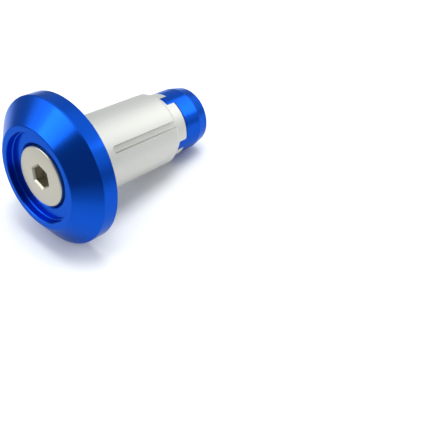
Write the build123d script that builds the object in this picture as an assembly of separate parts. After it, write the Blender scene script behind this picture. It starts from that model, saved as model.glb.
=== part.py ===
# Handlebar end weight: end cap, clamping screw, plug sleeve and wedge nut.
# Millimetres. X is the handlebar's axis: the cap faces +X, the plug goes into the bar towards -X.
# The origin is the centre of the cap's back face, which seats on the end of the bar.
from build123d import *
import os
import math

# ---- end cap -------------------------------------------------------------
CAP_R = 15.0            # rim radius
RIM_W = 3.5             # width of the cylindrical rim
CAP_T = 7.06            # back face to the flat land at the front
LAND_R = 10.3           # outer radius of the land
RECESS_R = 9.03         # radius of the round recess
RECESS_DEPTH = 1.5
RECESS_FILLET = 0.28    # round at the foot of the recess wall
RIM_BACK_CH = 0.35      # chamfer on the rim's back edge
RIM_FRONT_CH = 0.18     # broken edge between rim and cone
EDGE_BREAK = 0.12       # broken edges of the land
SINK_R = 6.65           # countersink radius at the recess floor
HOLE_R = 3.25           # clearance hole for the screw
SOCKET_DEPTH = 1.0      # shallow bore in the back that centres the sleeve
SOCKET_LEAD = 0.3       # chamfer at the bore's mouth

# ---- clamping screw, M6 x 40 countersunk ---------------------------------
HEAD_R = 6.1
HEAD_TOP = 5.98         # X of the head's flat top
HEAD_EDGE = 0.92        # straight edge of the head
HEAD_ROUND = 0.3        # rounding of the head's rim
SCREW_R = 2.95          # thread drawn as a plain cylinder
SCREW_LEN = 40.0        # measured over the head, as countersunk screws are
SCREW_END_CH = 0.7
HEX_AF = 4.06           # socket size across the flats
HEX_DEPTH = 2.4
HEX_BREAK = 0.33        # lead-in at the socket's mouth
HEX_TURN = -13.0        # one socket corner, degrees from +Z towards +Y

# ---- plug sleeve ---------------------------------------------------------
SLEEVE_R = 8.0
SPIGOT_R = 7.74         # short spigot that goes into the cap's back bore
SLEEVE_FIT = 0.04       # radial clearance in that bore
SHOULDER_X = -23.4      # end of the full diameter
SHOULDER_LEN = 0.6      # sloping edge of the shoulder: length and drop
SHOULDER_DROP = 0.3
NECK_ROOT_R = 7.15
NECK_END_R = 7.10
SLEEVE_END = -27.3
SLEEVE_BORE_R = 3.5
TAPER_START = -12.0     # the bore opens from here to take the wedge
TAPER_R = 5.2           # bore radius at the mouth
TAPER_END = -24.3
GROOVES = 4
GROOVE_W = 1.16         # width of the groove's floor
GROOVE_DRAFT = 10.0     # its sides lean outwards, degrees
GROOVE_FLOOR_R = 6.75   # floor radius at the groove's round end
GROOVE_END_R = 7.15     # floor radius where the groove runs out at the shoulder
GROOVE_HEAD = -6.4      # X of the groove's round end
TABS = 4
TAB_ANGLE = 10.2        # first tab, degrees from +Z towards +Y
GROOVE_OFFSET = 45.0    # the grooves lie midway between the tabs
NOTCH_W = 2.42
NOTCH_BOTTOM = -25.0

# ---- wedge nut -----------------------------------------------------------
NUT_R = 7.04
NUT_FACE = SLEEVE_END - 0.03    # seated on the end of the sleeve
NUT_BEVEL_X = -31.7     # the far end tapers from here
NUT_END = -34.7
NUT_END_R = 6.46        # 11 degree taper
NUT_CH = 0.1
TAB_W = 2.3
TAB_TIP = -25.1
WEDGE_FIT = 0.05        # radial gap between wedge and bore
WEDGE_TIP = -15.0
THREAD_R = 3.0


def turned(points):
    """Solid of revolution about X from (x, r) points of a closed outline."""
    with BuildPart() as p:
        with BuildSketch(Plane.XZ):
            with BuildLine():
                Polyline(*[(x, r) for x, r in points], close=True)
            make_face()
        revolve(axis=Axis.X)
    return p.part


def around_x(shape, angle):
    """Turn a shape made at +Z by an angle measured from +Z towards +Y."""
    return shape.rotate(Axis.X, -angle)


# ---- end cap -------------------------------------------------------------
FLOOR_X = CAP_T - RECESS_DEPTH
SINK_FOOT = FLOOR_X - (SINK_R - HOLE_R)
cone_len = CAP_T - RIM_W
cone_dr = CAP_R - LAND_R
cl = math.hypot(cone_len, cone_dr)
ux, ur = cone_len / cl, -cone_dr / cl          # along the cone, rim to land
f = RECESS_FILLET
fillet_pts = []
for i in range(7):
    t = math.radians(90.0 * i / 6)
    fillet_pts.append((FLOOR_X + f - f * math.sin(t), RECESS_R - f + f * math.cos(t)))
cap_outline = [
    (SOCKET_DEPTH, HOLE_R),
    (SOCKET_DEPTH, SPIGOT_R + SLEEVE_FIT),
    (SOCKET_LEAD, SPIGOT_R + SLEEVE_FIT),
    (0.0, SLEEVE_R + SLEEVE_FIT),
    (0.0, CAP_R - RIM_BACK_CH),
    (RIM_BACK_CH, CAP_R),
    (RIM_W - RIM_FRONT_CH, CAP_R),
    (RIM_W + RIM_FRONT_CH * ux, CAP_R + RIM_FRONT_CH * ur),
    (CAP_T - EDGE_BREAK * ux, LAND_R - EDGE_BREAK * ur),
    (CAP_T, LAND_R - EDGE_BREAK),
    (CAP_T, RECESS_R + EDGE_BREAK),
    (CAP_T - EDGE_BREAK, RECESS_R),
] + fillet_pts + [
    (FLOOR_X, SINK_R),
    (SINK_FOOT, HOLE_R),
]
end_cap = turned(cap_outline)

# ---- clamping screw ------------------------------------------------------
head_foot = HEAD_TOP - HEAD_EDGE
screw_tip = HEAD_TOP - SCREW_LEN
cone_foot = head_foot - (HEAD_R - SCREW_R)
head_round = []
for i in range(7):
    t = math.radians(90.0 * i / 6)
    head_round.append((HEAD_TOP - HEAD_ROUND * (1 - math.cos(t)), HEAD_R - HEAD_ROUND * (1 - math.sin(t))))
screw_outline = [
    (HEAD_TOP, 0.0),
] + head_round + [
    (head_foot, HEAD_R),
    (cone_foot, SCREW_R),
    (screw_tip + SCREW_END_CH, SCREW_R),
    (screw_tip, SCREW_R - SCREW_END_CH),
    (screw_tip, 0.0),
]
clamp_screw = turned(screw_outline)


def hexagon(across_flats, x):
    """Hexagonal face square to X, with one corner at HEX_TURN."""
    r = across_flats / math.sqrt(3.0)
    pts = []
    for i in range(6):
        t = math.radians(HEX_TURN + 60.0 * i)
        pts.append((r * math.sin(t), r * math.cos(t)))      # (y, z)
    with BuildSketch(Plane(origin=(x, 0, 0), x_dir=(0, 1, 0), z_dir=(1, 0, 0))) as sk:
        with BuildLine():
            Polyline(*pts, close=True)
        make_face()
    return sk.sketch


sock = extrude(hexagon(HEX_AF, HEAD_TOP + 0.2), amount=-(HEX_DEPTH + 0.2), dir=(1, 0, 0))
lead_in = loft([hexagon(HEX_AF + 2 * HEX_BREAK + 0.1, HEAD_TOP + 0.05), hexagon(HEX_AF, HEAD_TOP - HEX_BREAK)])
socket_tip = turned([
    (HEAD_TOP - HEX_DEPTH + 0.01, 0.0),
    (HEAD_TOP - HEX_DEPTH + 0.01, HEX_AF / 2 - 0.05),
    (HEAD_TOP - HEX_DEPTH, HEX_AF / 2 - 0.05),
    (HEAD_TOP - HEX_DEPTH - 1.0, 0.0),
])
clamp_screw = clamp_screw - sock - socket_tip - lead_in

# ---- plug sleeve ---------------------------------------------------------
sleeve_outline = [
    (SOCKET_DEPTH, SLEEVE_BORE_R + 0.3),
    (SOCKET_DEPTH, SPIGOT_R - 0.3),
    (SOCKET_DEPTH - 0.3, SPIGOT_R),
    (0.0, SPIGOT_R),
    (0.0, SLEEVE_R),
    (SHOULDER_X, SLEEVE_R),
    (SHOULDER_X - SHOULDER_LEN, SLEEVE_R - SHOULDER_DROP),
    (SHOULDER_X - SHOULDER_LEN - 0.1, NECK_ROOT_R),
    (SLEEVE_END + 0.18, NECK_END_R),
    (SLEEVE_END, NECK_END_R - 0.18),
    (SLEEVE_END, TAPER_R),
    (TAPER_END, TAPER_R),
    (TAPER_START, SLEEVE_BORE_R),
    (SOCKET_DEPTH - 0.3, SLEEVE_BORE_R),
]
sleeve = turned(sleeve_outline)

with BuildPart() as groove:
    with BuildSketch(Plane.XY.offset(GROOVE_FLOOR_R)):
        with BuildLine():
            r = GROOVE_W / 2
            xc = GROOVE_HEAD - r
            xe = SHOULDER_X - 1.5
            l1 = Line((xe, -r), (xc, -r))
            ThreePointArc((xc, -r), (GROOVE_HEAD, 0), (xc, r))
            Line((xc, r), (xe, r))
            Line((xe, r), (xe, -r))
        make_face()
    extrude(amount=3.0, taper=-GROOVE_DRAFT)
groove_rise = math.degrees(math.atan2(GROOVE_END_R - GROOVE_FLOOR_R, GROOVE_HEAD - SHOULDER_X))
groove_cut = groove.part.rotate(Axis((GROOVE_HEAD, 0, GROOVE_FLOOR_R), (0, 1, 0)), groove_rise)
for i in range(GROOVES):
    sleeve = sleeve - around_x(groove_cut, GROOVE_OFFSET + 360.0 * i / GROOVES)

notch_len = NOTCH_BOTTOM - SLEEVE_END + 1.0
notch = Pos(NOTCH_BOTTOM - notch_len / 2, 0, TAPER_R - 0.6 + 2.0) * Box(notch_len, NOTCH_W, 4.0)
for i in range(TABS):
    sleeve = sleeve - around_x(notch, 360.0 * i / TABS)
sleeve = around_x(sleeve, TAB_ANGLE)

# ---- wedge nut -----------------------------------------------------------
slope = (TAPER_R - SLEEVE_BORE_R) / (TAPER_START - TAPER_END)
wedge_r = TAPER_R - WEDGE_FIT
tip_r = wedge_r - slope * (WEDGE_TIP - TAPER_END)
nut_outline = [
    (WEDGE_TIP, THREAD_R + 0.35),
    (WEDGE_TIP, tip_r - 0.25),
    (WEDGE_TIP - 0.4, tip_r - slope * -0.4),
    (TAPER_END, wedge_r),
    (NUT_FACE, wedge_r),
    (NUT_FACE, NUT_R - 0.12),
    (NUT_FACE - 0.12, NUT_R),
    (NUT_BEVEL_X, NUT_R),
    (NUT_END + NUT_CH, NUT_END_R),
    (NUT_END, NUT_END_R - NUT_CH),
    (NUT_END, THREAD_R + 0.5),
    (NUT_END + 0.5, THREAD_R),
    (WEDGE_TIP - 0.35, THREAD_R),
]
wedge_nut = turned(nut_outline)

# the tabs are what milling left of a ring of the head's own diameter
tab_ring = turned([
    (TAB_TIP, wedge_r - 0.3),
    (TAB_TIP, NUT_R - 0.1),
    (TAB_TIP - 0.1, NUT_R),
    (NUT_FACE - 0.5, NUT_R),
    (NUT_FACE - 0.5, wedge_r - 0.3),
])
tab_len = TAB_TIP - NUT_FACE + 2.0
tab_box = Pos((TAB_TIP + NUT_FACE) / 2, 0, 6.0) * Box(tab_len, TAB_W, 4.0)
for i in range(TABS):
    wedge_nut = wedge_nut + (tab_ring & around_x(tab_box, 360.0 * i / TABS))
wedge_nut = around_x(wedge_nut, TAB_ANGLE)

# ---- write one file for each piece ---------------------------------------
os.makedirs("parts", exist_ok=True)
for name, shape in (
    ("end_cap", end_cap),
    ("clamp_screw", clamp_screw),
    ("sleeve", sleeve),
    ("wedge_nut", wedge_nut),
):
    solids = shape.solids()
    print(name, len(solids), "solid(s)", round(shape.volume, 1), "mm3")
    export_step(solids[0] if len(solids) == 1 else shape, "parts/" + name + ".step")
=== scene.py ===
# Handlebar end weight: finishes, floor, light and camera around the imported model.
# Metres, in the model's own frame: X is the bar's axis, the cap faces +X.
import bpy
import bmesh
import math
from mathutils import Matrix, Vector


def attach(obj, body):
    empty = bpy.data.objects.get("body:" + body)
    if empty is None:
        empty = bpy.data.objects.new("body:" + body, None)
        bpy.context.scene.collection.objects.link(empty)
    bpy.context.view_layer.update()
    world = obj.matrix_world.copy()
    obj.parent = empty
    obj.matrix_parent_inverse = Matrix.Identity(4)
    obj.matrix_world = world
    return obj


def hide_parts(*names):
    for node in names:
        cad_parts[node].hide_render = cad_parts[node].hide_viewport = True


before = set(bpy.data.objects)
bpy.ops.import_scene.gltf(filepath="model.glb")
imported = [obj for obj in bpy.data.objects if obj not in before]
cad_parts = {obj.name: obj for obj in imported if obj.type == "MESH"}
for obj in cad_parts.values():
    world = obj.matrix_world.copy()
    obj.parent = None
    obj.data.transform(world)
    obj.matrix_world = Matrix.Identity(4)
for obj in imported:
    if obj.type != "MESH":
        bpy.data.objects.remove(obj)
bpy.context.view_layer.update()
scene = bpy.context.scene
scene.view_settings.view_transform = "Standard"
scene.view_settings.look = "None"

# ---- camera: a 50 mm lens looking down on the cap from its front left ------
CAM_POS = Vector((0.0639934, 0.0793815, 0.0684267))
CAM_RIGHT = Vector((-0.6326424, 0.7603753, 0.1469455))
CAM_UP = Vector((-0.3986528, -0.4824164, 0.7799682))
CAM_FORWARD = Vector((-0.6639575, -0.4348606, -0.6083228))

cam_data = bpy.data.cameras.new("camera")
cam_data.lens = 50.0
cam_data.sensor_width = 36.0
cam_data.clip_start = 0.005
cam_data.clip_end = 20.0
cam = bpy.data.objects.new("camera", cam_data)
scene.collection.objects.link(cam)
cam.matrix_world = Matrix((
    (CAM_RIGHT.x, CAM_UP.x, -CAM_FORWARD.x, CAM_POS.x),
    (CAM_RIGHT.y, CAM_UP.y, -CAM_FORWARD.y, CAM_POS.y),
    (CAM_RIGHT.z, CAM_UP.z, -CAM_FORWARD.z, CAM_POS.z),
    (0.0, 0.0, 0.0, 1.0),
))
scene.camera = cam

# ---- floor: the weight lies on the rim's back edge and the nut's far edge ---
RIM_EDGE = (0.00035, 0.015)         # X and radius of the rim's back edge
NUT_EDGE = (-0.0346, 0.00646)       # X and radius of the nut's far edge
tilt = math.atan2(RIM_EDGE[1] - NUT_EDGE[1], RIM_EDGE[0] - NUT_EDGE[0])
FLOOR_N = Vector((math.sin(tilt), 0.0, math.cos(tilt)))
FLOOR_D = RIM_EDGE[0] * FLOOR_N.x - RIM_EDGE[1] * FLOOR_N.z
FLOOR_F = (CAM_FORWARD - FLOOR_N * CAM_FORWARD.dot(FLOOR_N)).normalized()   # away from the camera
FLOOR_R = FLOOR_F.cross(FLOOR_N)                                            # to the camera's right


def toward(el, az):
    """Direction at an elevation above the floor; azimuth 0 is away from the camera, 90 to its right."""
    e, a = math.radians(el), math.radians(az)
    return FLOOR_N * math.sin(e) + (FLOOR_F * math.cos(a) + FLOOR_R * math.sin(a)) * math.cos(e)


def material(name):
    mat = bpy.data.materials.new(name)
    mat.use_nodes = True
    nt = mat.node_tree
    return mat, nt.nodes, nt.links, nt.nodes["Principled BSDF"]


floor_mat, nodes, links, bsdf = material("floor_paper")
spot = nodes.new("ShaderNodeVectorMath")                # distance from the weight; it drives the paper's painted shade and painted light
spot.operation = "DISTANCE"
spot.inputs[1].default_value = FLOOR_N * FLOOR_D + Vector((-0.0135, 0.0, 0.0)) + FLOOR_F * 0.03 - FLOOR_R * 0.01
links.new(nodes.new("ShaderNodeTexCoord").outputs["Object"], spot.inputs[0])
painted_ramp = nodes.new("ShaderNodeMapRange")
painted_ramp.interpolation_type = "SMOOTHSTEP"
painted_ramp.inputs["From Min"].default_value = 0.050
painted_ramp.inputs["From Max"].default_value = 0.145
links.new(spot.outputs["Value"], painted_ramp.inputs["Value"])
sheet_painted_shade = nodes.new("ShaderNodeMix")                      # the sheet as the metal mirrors it, with painted shade: darker far off, standing in for light that falls off
sheet_painted_shade.data_type = "RGBA"
sheet_painted_shade.inputs["A"].default_value = (0.84, 0.84, 0.84, 1.0)
sheet_painted_shade.inputs["B"].default_value = (0.38, 0.39, 0.40, 1.0)
links.new(painted_ramp.outputs["Result"], sheet_painted_shade.inputs["Factor"])
paper = nodes.new("ShaderNodeMix")
paper.data_type = "RGBA"
paper_painted_light = nodes.new("ShaderNodeMix")                      # and as it is seen, with painted light: brighter than white far off, so the shadow's edge burns out
paper_painted_light.data_type = "RGBA"
paper_painted_light.inputs["A"].default_value = (0.96, 0.96, 0.96, 1.0)
paper_painted_light.inputs["B"].default_value = (1.90, 1.90, 1.90, 1.0)
links.new(painted_ramp.outputs["Result"], paper_painted_light.inputs["Factor"])
links.new(nodes.new("ShaderNodeLightPath").outputs["Is Camera Ray"], paper.inputs["Factor"])
links.new(sheet_painted_shade.outputs["Result"], paper.inputs["A"])
links.new(paper_painted_light.outputs["Result"], paper.inputs["B"])
links.new(paper.outputs["Result"], bsdf.inputs["Base Color"])
bsdf.inputs["Roughness"].default_value = 0.75
bsdf.inputs["Specular IOR Level"].default_value = 0.15

HALF = 6.0
centre = FLOOR_N * FLOOR_D
corners = [centre + FLOOR_R * (HALF * i) + FLOOR_F * (HALF * j) for i, j in ((-1, -1), (1, -1), (1, 1), (-1, 1))]
floor_mesh = bpy.data.meshes.new("floor")
floor_mesh.from_pydata(corners, [], [(0, 1, 2, 3)])
floor_mesh.materials.append(floor_mat)
floor = bpy.data.objects.new("floor", floor_mesh)
scene.collection.objects.link(floor)

# ---- light: walls that brighten upwards, dark behind the camera, three soft boxes and a key for the paper
TARGET = Vector((-0.0135, 0.0, 0.0))


def softbox(name, el, az, dist, w_deg, h_deg, radiance, colour=(1.0, 1.0, 1.0)):
    data = bpy.data.lights.new(name, "AREA")
    data.shape = "RECTANGLE"
    data.size = 2.0 * dist * math.tan(math.radians(w_deg / 2))
    data.size_y = 2.0 * dist * math.tan(math.radians(h_deg / 2))
    data.energy = radiance * math.pi * data.size * data.size_y
    data.color = colour
    obj = bpy.data.objects.new(name, data)
    scene.collection.objects.link(obj)
    d = toward(el, az)
    obj.location = TARGET + d * dist
    z = d
    x = (FLOOR_N.cross(z)).normalized() if abs(z.dot(FLOOR_N)) < 0.999 else FLOOR_R
    y = z.cross(x)
    obj.matrix_world = Matrix((
        (x.x, y.x, z.x, obj.location.x),
        (x.y, y.y, z.y, obj.location.y),
        (x.z, y.z, z.z, obj.location.z),
        (0.0, 0.0, 0.0, 1.0),
    ))
    return obj


softbox("soft_left", 38, -112, 0.4, 28, 24, 2.5)
softbox("soft_right", 25, 52, 0.4, 50, 18, 2.3)
softbox("soft_top", 86, 10, 0.5, 40, 36, 0.6)
key = softbox("key_floor", 78, 66, 0.5, 26, 24, 7.8)        # lights the paper only
lit = bpy.data.collections.new("paper_only")
lit.objects.link(floor)
key.light_linking.receiver_collection = lit

world = bpy.data.worlds.new("studio")
scene.world = world
world.use_nodes = True
nodes, links = world.node_tree.nodes, world.node_tree.links
nodes.clear()
out = nodes.new("ShaderNodeOutputWorld")
coord = nodes.new("ShaderNodeTexCoord")


def lobe(direction, inner, outer):
    """1 within inner degrees of a direction, falling smoothly to 0 at outer degrees."""
    dot = nodes.new("ShaderNodeVectorMath")
    dot.operation = "DOT_PRODUCT"
    dot.inputs[1].default_value = direction
    links.new(coord.outputs["Generated"], dot.inputs[0])
    ramp = nodes.new("ShaderNodeMapRange")
    ramp.interpolation_type = "SMOOTHSTEP"
    ramp.inputs["From Min"].default_value = math.cos(math.radians(outer))
    ramp.inputs["From Max"].default_value = math.cos(math.radians(inner))
    links.new(dot.outputs["Value"], ramp.inputs["Value"])
    return ramp.outputs["Result"]


def mix(factor, a, b):
    m = nodes.new("ShaderNodeMix")
    m.data_type = "RGBA"
    links.new(factor, m.inputs["Factor"])
    for value, socket in ((a, m.inputs["A"]), (b, m.inputs["B"])):
        if isinstance(value, tuple):
            socket.default_value = value
        else:
            links.new(value, socket)
    return m.outputs["Result"]


walls = mix(lobe(toward(90, 0), 12, 84), (0.42, 0.46, 0.49, 1.0), (1.18, 1.25, 1.31, 1.0))
walls = mix(lobe(toward(16, 4), 4, 30), walls, (0.62, 0.67, 0.70, 1.0))
walls = mix(lobe(toward(30, -94), 6, 30), walls, (2.00, 2.08, 2.14, 1.0))
walls = mix(lobe(toward(30, 72), 10, 42), walls, (0.98, 1.04, 1.08, 1.0))
walls = mix(lobe(toward(4, 45), 6, 24), walls, (1.00, 1.05, 1.08, 1.0))
surround = mix(lobe(toward(22, 180), 42, 78), walls, (0.19, 0.21, 0.24, 1.0))
path = nodes.new("ShaderNodeLightPath")
shown = mix(path.outputs["Is Camera Ray"], surround, (1.1, 1.1, 1.1, 1.0))
background = nodes.new("ShaderNodeBackground")
links.new(shown, background.inputs["Color"])
links.new(background.outputs["Background"], out.inputs["Surface"])

# ---- finishes ---------------------------------------------------------------


def turned_rings(nodes, links, scale):
    """Noise that only changes along the radius and the axis, as a lathe tool leaves it."""
    coord = nodes.new("ShaderNodeTexCoord")
    sep = nodes.new("ShaderNodeSeparateXYZ")
    links.new(coord.outputs["Object"], sep.inputs["Vector"])
    flat = nodes.new("ShaderNodeCombineXYZ")
    links.new(sep.outputs["Y"], flat.inputs["X"])
    links.new(sep.outputs["Z"], flat.inputs["Y"])
    radius = nodes.new("ShaderNodeVectorMath")
    radius.operation = "LENGTH"
    links.new(flat.outputs["Vector"], radius.inputs[0])
    both = nodes.new("ShaderNodeCombineXYZ")
    links.new(radius.outputs["Value"], both.inputs["X"])
    links.new(sep.outputs["X"], both.inputs["Y"])
    noise = nodes.new("ShaderNodeTexNoise")
    noise.noise_dimensions = "2D"
    noise.inputs["Scale"].default_value = scale
    noise.inputs["Detail"].default_value = 3.0
    noise.inputs["Roughness"].default_value = 0.6
    links.new(both.outputs["Vector"], noise.inputs["Vector"])
    return coord, noise


def bump(nodes, links, bsdf, height, distance, strength):
    b = nodes.new("ShaderNodeBump")
    b.inputs["Distance"].default_value = distance
    b.inputs["Strength"].default_value = strength
    links.new(height, b.inputs["Height"])
    links.new(b.outputs["Normal"], bsdf.inputs["Normal"])
    return b


def to_range(nodes, links, value, low, high):
    m = nodes.new("ShaderNodeMapRange")
    m.inputs["From Min"].default_value = 0.25
    m.inputs["From Max"].default_value = 0.75
    m.inputs["To Min"].default_value = low
    m.inputs["To Max"].default_value = high
    links.new(value, m.inputs["Value"])
    return m.outputs["Result"]


blue, nodes, links, bsdf = material("blue_anodised")
bsdf.inputs["Metallic"].default_value = 0.92
bsdf.inputs["Specular IOR Level"].default_value = 0.0
bsdf.inputs["Base Color"].default_value = (0.0055, 0.080, 0.54, 1.0)
bsdf.inputs["Specular Tint"].default_value = (0.64, 0.76, 0.90, 1.0)
coord, rings = turned_rings(nodes, links, 9000.0)
links.new(to_range(nodes, links, rings.outputs["Fac"], 0.18, 0.23), bsdf.inputs["Roughness"])
bump(nodes, links, bsdf, rings.outputs["Fac"], 0.000005, 0.06)

silver, nodes, links, bsdf = material("silver_anodised")
bsdf.inputs["Metallic"].default_value = 1.0
bsdf.inputs["Base Color"].default_value = (0.71, 0.695, 0.646, 1.0)
coord = nodes.new("ShaderNodeTexCoord")
grain = nodes.new("ShaderNodeTexNoise")
grain.inputs["Scale"].default_value = 7000.0
grain.inputs["Detail"].default_value = 2.0
links.new(coord.outputs["Object"], grain.inputs["Vector"])
links.new(to_range(nodes, links, grain.outputs["Fac"], 0.52, 0.60), bsdf.inputs["Roughness"])
bump(nodes, links, bsdf, grain.outputs["Fac"], 0.00002, 0.15)

steel, nodes, links, bsdf = material("bright_screw")
bsdf.inputs["Metallic"].default_value = 1.0
bsdf.inputs["Base Color"].default_value = (0.52, 0.49, 0.41, 1.0)
coord, rings = turned_rings(nodes, links, 6000.0)
links.new(to_range(nodes, links, rings.outputs["Fac"], 0.26, 0.36), bsdf.inputs["Roughness"])
bump(nodes, links, bsdf, rings.outputs["Fac"], 0.00001, 0.12)

for node, mat in (("end_cap", blue), ("wedge_nut", blue), ("sleeve", silver), ("clamp_screw", steel)):
    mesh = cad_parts[node].data
    mesh.materials.clear()
    mesh.materials.append(mat)

# ---- screw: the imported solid's shape with its real thread, M6 x 1, 24 mm long ----
COLS = 96                                           # points round the screw
HEAD_TOP, HEAD_R, HEAD_FOOT, HEAD_ROUND = 5.98, 6.1, 5.06, 0.3      # millimetres
SHANK_R, CONE_FOOT = 2.95, 1.91
TIP, TIP_R, THREAD_END = -34.02, 2.25, -10.0
PITCH, DEPTH = 1.0, 0.56
HEX_AF, HEX_MOUTH, HEX_BREAK, HEX_DEPTH, HEX_TURN = 4.06, 4.72, 0.33, 2.4, -13.0
PHASES = (-0.0625, 0.0, 0.0625, 0.166, 0.271, 0.375, 0.5, 0.625, 0.729, 0.834)


def thread_depth(phase):
    """Depth below the crest: flat crest, straight flanks, flat root."""
    p = abs((phase + 0.5) % 1.0 - 0.5)
    return DEPTH * min(max((p - 0.0625) / 0.3125, 0.0), 1.0)


def hex_r(across_flats, col):
    return across_flats / 2 / math.cos(math.radians(60.0 * (col % (COLS // 6)) / (COLS // 6) - 30.0))


rows = [[(TIP, 0.0)] * (COLS + 1)]
for turn in range(int((THREAD_END - TIP) / PITCH) + 3):
    for phase in PHASES:
        row = []
        for col in range(COLS + 1):
            x = min(max(TIP + PITCH * (turn + phase - col / COLS), TIP), THREAD_END)    # right-hand helix
            fade = min(1.0, (THREAD_END - x) / 1.2)
            row.append((x, min(SHANK_R - thread_depth(phase) * fade, TIP_R + x - TIP)))
        rows.append(row)
profile = [(CONE_FOOT, SHANK_R), (HEAD_FOOT, HEAD_R)]
for i in range(6, -1, -1):
    t = math.radians(15.0 * i)
    profile.append((HEAD_TOP - HEAD_ROUND * (1 - math.cos(t)), HEAD_R - HEAD_ROUND * (1 - math.sin(t))))
rows += [[p] * (COLS + 1) for p in profile]
for x, af in ((HEAD_TOP, HEX_MOUTH), (HEAD_TOP - HEX_BREAK, HEX_AF), (HEAD_TOP - HEX_DEPTH, HEX_AF)):
    rows.append([(x, hex_r(af, col)) for col in range(COLS + 1)])
rows += [[p] * (COLS + 1) for p in ((HEAD_TOP - HEX_DEPTH, HEX_AF / 2 - 0.05), (HEAD_TOP - HEX_DEPTH - 1.0, 0.0))]

bm = bmesh.new()
grid = []
for row in rows:
    line = []
    for col, (x, r) in enumerate(row):
        t = math.radians(HEX_TURN + 360.0 * col / COLS)
        line.append(bm.verts.new(Vector((x, r * math.sin(t), r * math.cos(t))) * 0.001))
    grid.append(line)
for a, b in zip(grid, grid[1:]):
    for col in range(COLS):
        bm.faces.new((a[col], a[col + 1], b[col + 1], b[col]))
bmesh.ops.remove_doubles(bm, verts=bm.verts, dist=2e-7)
bmesh.ops.recalc_face_normals(bm, faces=bm.faces)
for face in bm.faces:
    face.smooth = True
screw_mesh = bpy.data.meshes.new("clamp_screw_threaded")
bm.to_mesh(screw_mesh)
bm.free()
screw_mesh.set_sharp_from_angle(angle=math.radians(25))
screw_mesh.materials.append(steel)
screw = bpy.data.objects.new("clamp_screw_threaded", screw_mesh)
scene.collection.objects.link(screw)
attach(screw, "screw")
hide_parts("clamp_screw")
